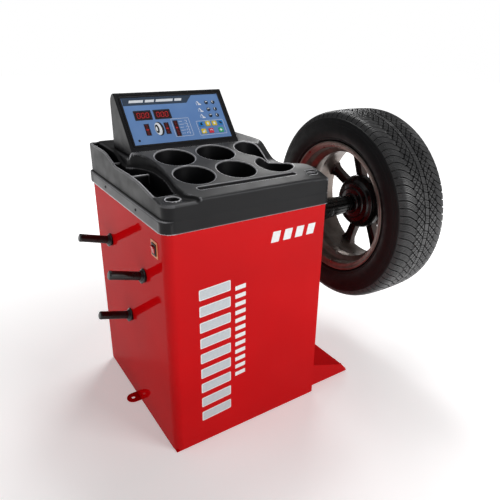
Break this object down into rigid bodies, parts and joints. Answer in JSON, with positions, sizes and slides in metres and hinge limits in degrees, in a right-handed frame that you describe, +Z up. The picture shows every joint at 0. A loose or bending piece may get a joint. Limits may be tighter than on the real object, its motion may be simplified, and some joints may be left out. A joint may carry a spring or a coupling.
{
  "type": "wheel balancer machine",
  "caption": "Free-standing wheel balancer: red steel cabinet with weight tray, sloping control console, hanger pegs, and a tyred wheel clamped on a belt-driven spindle.",
  "frame": {"origin": "middle of the cabinet's base, on the floor", "axes": "+X along the spindle towards the wheel, +Y towards the back of the cabinet, +Z up"},
  "size_m": [1.1914, 0.77, 1.0251],
  "materials": {
    "red_enamel": "gloss",
    "foot_rubber": "matt",
    "zinc_plated_steel": "satin",
    "blackened_steel": "satin",
    "tray_plastic": "satin",
    "console_plastic": "satin",
    "membrane": "satin",
    "display_window": "gloss",
    "circuit_board": "satin",
    "switch_plastic": "satin",
    "switch_red": "gloss",
    "grip_rubber": "matt",
    "grey_primer_steel": "satin",
    "black_enamel": "gloss",
    "ground_steel": "satin",
    "sensor_plastic": "satin",
    "motor_enamel": "satin",
    "inlet_plastic": "satin",
    "belt_rubber": "matt",
    "pulley_aluminium": "satin",
    "cast_alloy": "satin",
    "tyre_rubber": "matt",
    "valve_rubber": "matt",
    "weight_metal": "satin",
    "cup_plastic": "satin",
    "nut_enamel": "satin",
    "round_key_plastic": "satin",
    "blue_key_plastic": "satin",
    "yellow_key_plastic": "satin",
    "red_key_plastic": "satin",
    "green_key_plastic": "satin"
  },
  "bodies": {
    "machine": {"base_pan": "red_enamel", "base_frame": "red_enamel", "foot_pads": "foot_rubber", "outrigger_foot": "red_enamel", "outrigger_bolts": "zinc_plated_steel", "cabinet_shell": "red_enamel", "rear_cover": "red_enamel", "rear_cover_screws": "zinc_plated_steel", "weight_tray": "tray_plastic", "tray_screws": "blackened_steel", "console_housing": "console_plastic", "control_panel": "membrane", "weight_displays": "display_window", "position_lights": "display_window", "display_board": "circuit_board", "console_screws": "zinc_plated_steel", "power_switch_body": "switch_plastic", "peg_rods": "zinc_plated_steel", "upper_peg_grip": "grip_rubber", "middle_peg_grip": "grip_rubber", "lower_peg_grip": "grip_rubber", "spindle_pedestal": "grey_primer_steel", "spindle_housing": "black_enamel", "front_bearing": "ground_steel", "rear_bearing": "ground_steel", "force_sensors": "ground_steel", "sensor_studs": "zinc_plated_steel", "encoder_sensor": "sensor_plastic", "motor_bracket": "grey_primer_steel", "drive_motor": "motor_enamel", "power_board": "circuit_board", "mains_inlet": "inlet_plastic", "drive_belt": "belt_rubber"},
    "spindle": {"spindle_shaft": "ground_steel", "driven_pulley": "pulley_aluminium", "encoder_disc": "ground_steel", "wheel_flange": "black_enamel", "threaded_shaft": "ground_steel", "centring_cone": "ground_steel", "wheel_rim": "cast_alloy", "tyre": "tyre_rubber", "valve_stem": "valve_rubber", "balance_weights": "weight_metal"},
    "motor_rotor": {"motor_pulley": "pulley_aluminium"},
    "clamp_cup": {"pressure_cup": "cup_plastic"},
    "clamp_nut": {"quick_nut": "nut_enamel"},
    "switch_rocker": {"power_switch_rocker": "switch_red"},
    "distance_down_key": {"distance_down_key": "round_key_plastic"},
    "distance_up_key": {"distance_up_key": "round_key_plastic"},
    "width_down_key": {"width_down_key": "round_key_plastic"},
    "width_up_key": {"width_up_key": "round_key_plastic"},
    "diameter_down_key": {"diameter_down_key": "round_key_plastic"},
    "diameter_up_key": {"diameter_up_key": "round_key_plastic"},
    "mode_key": {"mode_key": "blue_key_plastic"},
    "fine_key": {"fine_key": "yellow_key_plastic"},
    "split_key": {"split_key": "yellow_key_plastic"},
    "units_key": {"units_key": "blue_key_plastic"},
    "calibrate_key": {"calibrate_key": "yellow_key_plastic"},
    "stop_key": {"stop_key": "red_key_plastic"},
    "start_key": {"start_key": "green_key_plastic"}
  },
  "joints": [
    {"name": "spindle_spin", "type": "hinge", "parent": "machine", "child": "spindle", "pos_m": [0.3325, -0.118, 0.627], "axis": [1, 0, 0], "continuous": true},
    {"name": "motor_spin", "type": "hinge", "parent": "machine", "child": "motor_rotor", "pos_m": [-0.1445, -0.118, 0.4], "axis": [1, 0, 0], "continuous": true},
    {"name": "clamp_slide", "type": "slide", "parent": "spindle", "child": "clamp_cup", "axis": [1, 0, 0], "range_m": [0, 0.06]},
    {"name": "nut_turn", "type": "hinge", "parent": "clamp_cup", "child": "clamp_nut", "pos_m": [0.7125, -0.118, 0.627], "axis": [1, 0, 0], "continuous": true},
    {"name": "power_rocker", "type": "hinge", "parent": "machine", "child": "switch_rocker", "pos_m": [-0.2685, -0.224, 0.662], "axis": [0, 1, 0], "range_deg": [0, 14]},
    {"name": "distance_down_key_press", "type": "slide", "parent": "machine", "child": "distance_down_key", "axis": [0, 0.7771, -0.6293], "range_m": [0, 0.0008], "stiffness_N_per_m": 1500},
    {"name": "distance_up_key_press", "type": "slide", "parent": "machine", "child": "distance_up_key", "axis": [0, 0.7771, -0.6293], "range_m": [0, 0.0008], "stiffness_N_per_m": 1500},
    {"name": "width_down_key_press", "type": "slide", "parent": "machine", "child": "width_down_key", "axis": [0, 0.7771, -0.6293], "range_m": [0, 0.0008], "stiffness_N_per_m": 1500},
    {"name": "width_up_key_press", "type": "slide", "parent": "machine", "child": "width_up_key", "axis": [0, 0.7771, -0.6293], "range_m": [0, 0.0008], "stiffness_N_per_m": 1500},
    {"name": "diameter_down_key_press", "type": "slide", "parent": "machine", "child": "diameter_down_key", "axis": [0, 0.7771, -0.6293], "range_m": [0, 0.0008], "stiffness_N_per_m": 1500},
    {"name": "diameter_up_key_press", "type": "slide", "parent": "machine", "child": "diameter_up_key", "axis": [0, 0.7771, -0.6293], "range_m": [0, 0.0008], "stiffness_N_per_m": 1500},
    {"name": "mode_key_press", "type": "slide", "parent": "machine", "child": "mode_key", "axis": [0, 0.7771, -0.6293], "range_m": [0, 0.0008], "stiffness_N_per_m": 1500},
    {"name": "fine_key_press", "type": "slide", "parent": "machine", "child": "fine_key", "axis": [0, 0.7771, -0.6293], "range_m": [0, 0.0008], "stiffness_N_per_m": 1500},
    {"name": "split_key_press", "type": "slide", "parent": "machine", "child": "split_key", "axis": [0, 0.7771, -0.6293], "range_m": [0, 0.0008], "stiffness_N_per_m": 1500},
    {"name": "units_key_press", "type": "slide", "parent": "machine", "child": "units_key", "axis": [0, 0.7771, -0.6293], "range_m": [0, 0.0008], "stiffness_N_per_m": 1500},
    {"name": "calibrate_key_press", "type": "slide", "parent": "machine", "child": "calibrate_key", "axis": [0, 0.7771, -0.6293], "range_m": [0, 0.0008], "stiffness_N_per_m": 1500},
    {"name": "stop_key_press", "type": "slide", "parent": "machine", "child": "stop_key", "axis": [0, 0.7771, -0.6293], "range_m": [0, 0.0008], "stiffness_N_per_m": 1500},
    {"name": "start_key_press", "type": "slide", "parent": "machine", "child": "start_key", "axis": [0, 0.7771, -0.6293], "range_m": [0, 0.0008], "stiffness_N_per_m": 1500}
  ],
  "couplings": [
    {"joint": "motor_spin", "follows": "spindle_spin", "ratio": 3}
  ]
}
